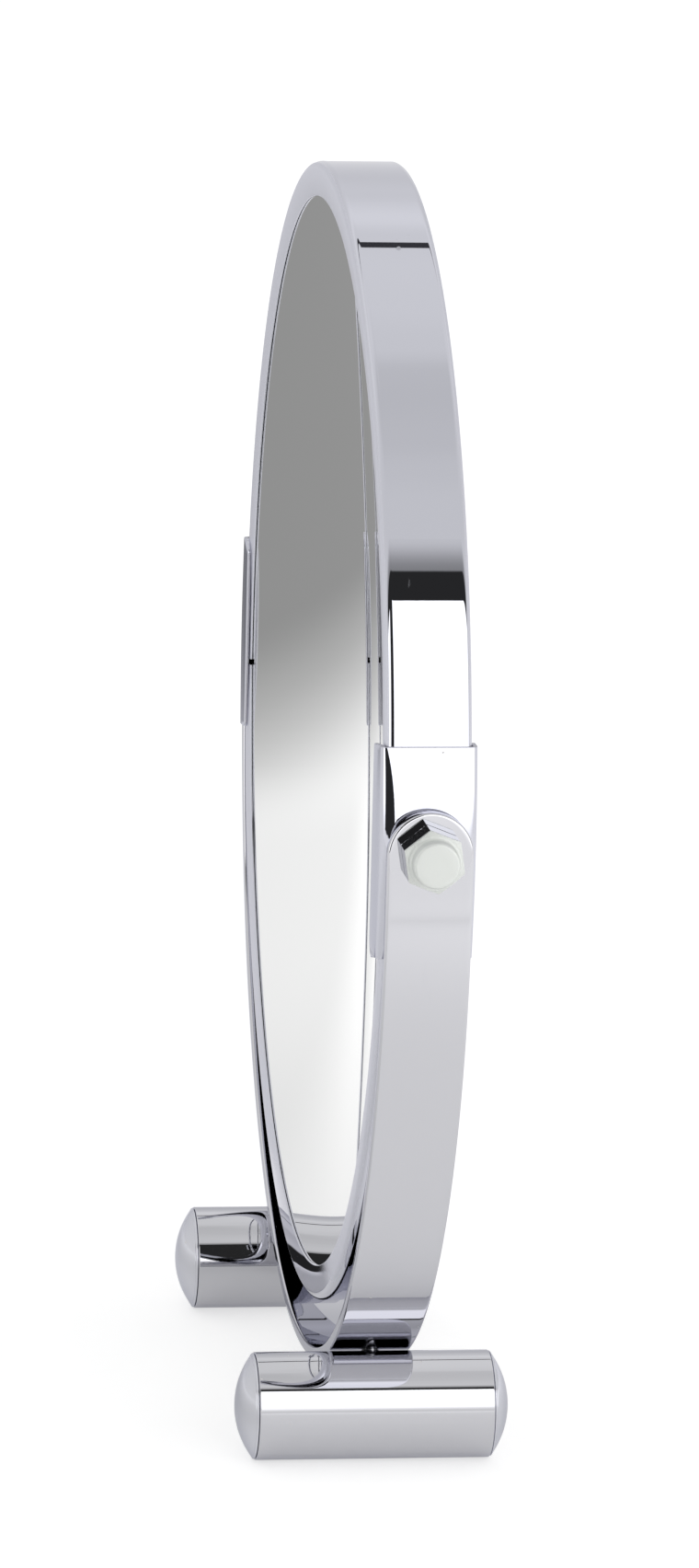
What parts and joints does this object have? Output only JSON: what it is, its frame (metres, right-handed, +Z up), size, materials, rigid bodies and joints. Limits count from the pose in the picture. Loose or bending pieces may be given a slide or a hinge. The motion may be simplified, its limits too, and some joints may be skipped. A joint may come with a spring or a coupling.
{
  "type": "cosmetic mirror",
  "caption": "Two-sided round table mirror, magnifying on one side, tilting between the ends of a bent chrome strap that stands on two capped tubes.",
  "frame": {"origin": "on the table top, under the middle of the stand", "axes": "+Z up; the pivot axis runs along X; the magnifying glass faces -Y when the mirror is upright"},
  "size_m": [0.1926, 0.0408, 0.1877],
  "materials": {
    "rim_chrome": "bright chrome plate",
    "stand_chrome": "bright chrome plate",
    "cap_chrome": "chrome plate, slightly hazy",
    "nut_plating": "bright plate, dull on the flat end",
    "mirror_glass": "silvered glass",
    "foam": "closed-cell foam",
    "nylon": "natural nylon",
    "zinc_steel": "plated steel"
  },
  "bodies": {
    "stand": {"pivot_bush_right": "nylon", "pivot_bush_left": "nylon", "stand_strap": "stand_chrome", "foot_tube_right": "stand_chrome", "foot_tube_left": "stand_chrome", "foot_cap_front_right": "cap_chrome", "foot_cap_back_right": "cap_chrome", "foot_cap_front_left": "cap_chrome", "foot_cap_back_left": "cap_chrome", "foot_weld_right": "zinc_steel", "foot_weld_left": "zinc_steel"},
    "mirror_head": {"rim_hoop": "rim_chrome", "magnifying_glass": "mirror_glass", "plain_glass": "mirror_glass", "backing_pad": "foam", "pivot_clip_right": "rim_chrome", "pivot_clip_left": "rim_chrome", "pivot_stud_right": "zinc_steel", "pivot_stud_left": "zinc_steel", "cap_nut_right": "nut_plating", "cap_nut_left": "nut_plating"}
  },
  "joints": [
    {"name": "mirror_tilt", "type": "hinge", "parent": "stand", "child": "mirror_head", "pos_m": [0, 0, 0.1017], "axis": [1, 0, 0], "continuous": true}
  ]
}
